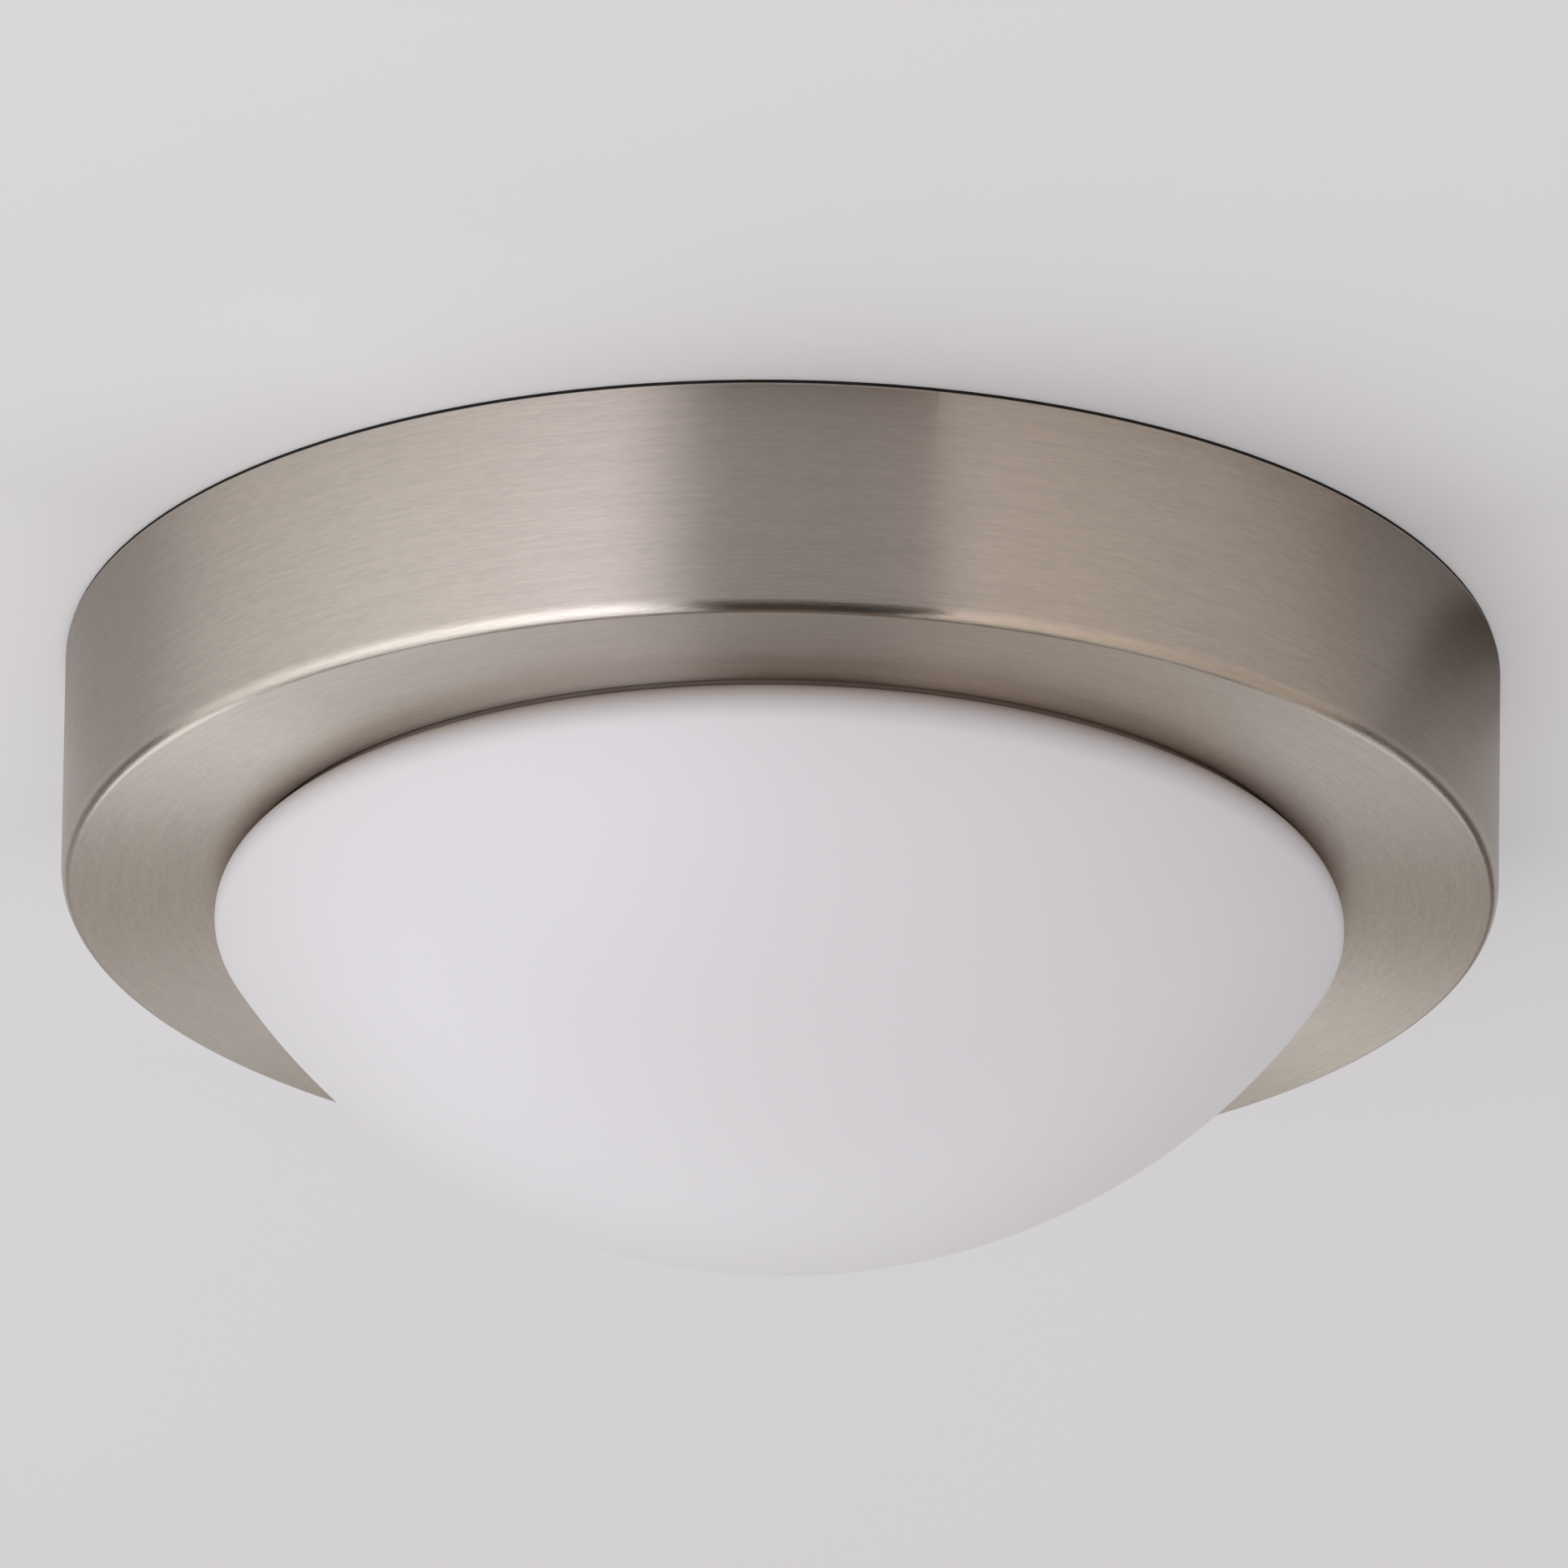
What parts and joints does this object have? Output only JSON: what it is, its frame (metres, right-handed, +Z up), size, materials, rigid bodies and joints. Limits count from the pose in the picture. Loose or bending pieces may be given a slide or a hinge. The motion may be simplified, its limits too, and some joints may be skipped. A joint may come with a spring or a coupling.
{
  "type": "flush ceiling light",
  "caption": "Round flush ceiling light: a shallow brushed drum canopy hung from a crossbar, with a wide opal glass dome in spring clips below a screw-in lamp.",
  "frame": {"origin": "centre of the ceiling plane, at the middle of the strap's slots for the ceiling box", "axes": "+Z up into the ceiling, +Y along the strap, +X from the lamp's globe to its holder"},
  "size_m": [0.28, 0.28, 0.1172],
  "materials": {
    "brushed_nickel": "satin brushed nickel plating",
    "opal_glass": "satin opal glass",
    "zinc_plate": "clear zinc plating",
    "green_steel": "green dyed zinc plating",
    "white_enamel": "gloss white enamel",
    "copper_steel": "copper-plated weld stud",
    "glass_fibre": "glass-fibre mat",
    "spring_steel": "blue-grey spring steel",
    "silicone": "translucent white silicone",
    "porcelain": "white glazed porcelain",
    "brass": "bright brass",
    "black_rubber": "matt black rubber",
    "black_insulation": "satin lead insulation",
    "white_insulation": "satin lead insulation",
    "green_insulation": "satin lead insulation",
    "block_nylon": "moulded nylon",
    "lamp_globe": "satin light-scattering plastic",
    "lamp_shell": "moulded white plastic",
    "cap_nickel": "nickel-plated brass",
    "black_glass": "black vitrite",
    "board_white": "white solder mask on aluminium",
    "chip_yellow": "phosphor resin",
    "board_green": "green circuit board",
    "part_dark": "moulded electronic parts"
  },
  "bodies": {
    "strap": {"mounting_strap": "zinc_plate", "ground_screw": "green_steel", "fixture_screws": "zinc_plate"},
    "canopy": {"canopy_shell": "brushed_nickel", "reflector_pan": "white_enamel", "pan_studs": "copper_steel", "pan_nuts": "zinc_plate", "insulation_pad": "glass_fibre", "shade_clips": "spring_steel", "clip_rivets": "spring_steel", "socket_bracket": "zinc_plate", "bracket_screws": "zinc_plate", "bracket_nuts": "zinc_plate", "socket_body": "porcelain", "socket_shell": "brass", "socket_contact": "brass", "socket_screws": "zinc_plate", "wire_grommet": "black_rubber", "line_lead": "black_insulation", "neutral_lead": "white_insulation", "earth_lead": "green_insulation", "terminal_block": "block_nylon", "terminal_clamps": "brass", "terminal_screws": "brass", "block_screws": "zinc_plate", "earth_lug": "brass", "earth_screw": "green_steel", "earth_nut": "zinc_plate"},
    "shade": {"glass_shade": "opal_glass", "neck_gasket": "silicone"},
    "lamp_tip": {"lamp_contact": "cap_nickel"},
    "lamp": {"lamp_envelope": "lamp_globe", "lamp_housing": "lamp_shell", "lamp_screw_shell": "cap_nickel", "lamp_insulator": "black_glass", "led_board": "board_white", "led_chips": "chip_yellow", "driver_board": "board_green", "driver_parts": "part_dark"}
  },
  "joints": [
    {"name": "canopy_turn", "type": "hinge", "parent": "strap", "child": "canopy", "pos_m": [0, 0, 0], "axis": [0, 0, 1], "range_deg": [0, 15]},
    {"name": "shade_drop", "type": "slide", "parent": "canopy", "child": "shade", "axis": [0, 0, -1], "range_m": [0, 0.07], "deforming": ["shade_clips"]},
    {"name": "lamp_out", "type": "slide", "parent": "canopy", "child": "lamp_tip", "axis": [-1, 0, 0], "range_m": [0, 0.0254]},
    {"name": "lamp_turn", "type": "hinge", "parent": "lamp_tip", "child": "lamp", "pos_m": [0, 0, -0.049], "axis": [-1, 0, 0], "range_deg": [0, 2520]}
  ],
  "couplings": [
    {"joint": "lamp_out", "follows": "lamp_turn", "m_per_rad": 0.00057757}
  ]
}
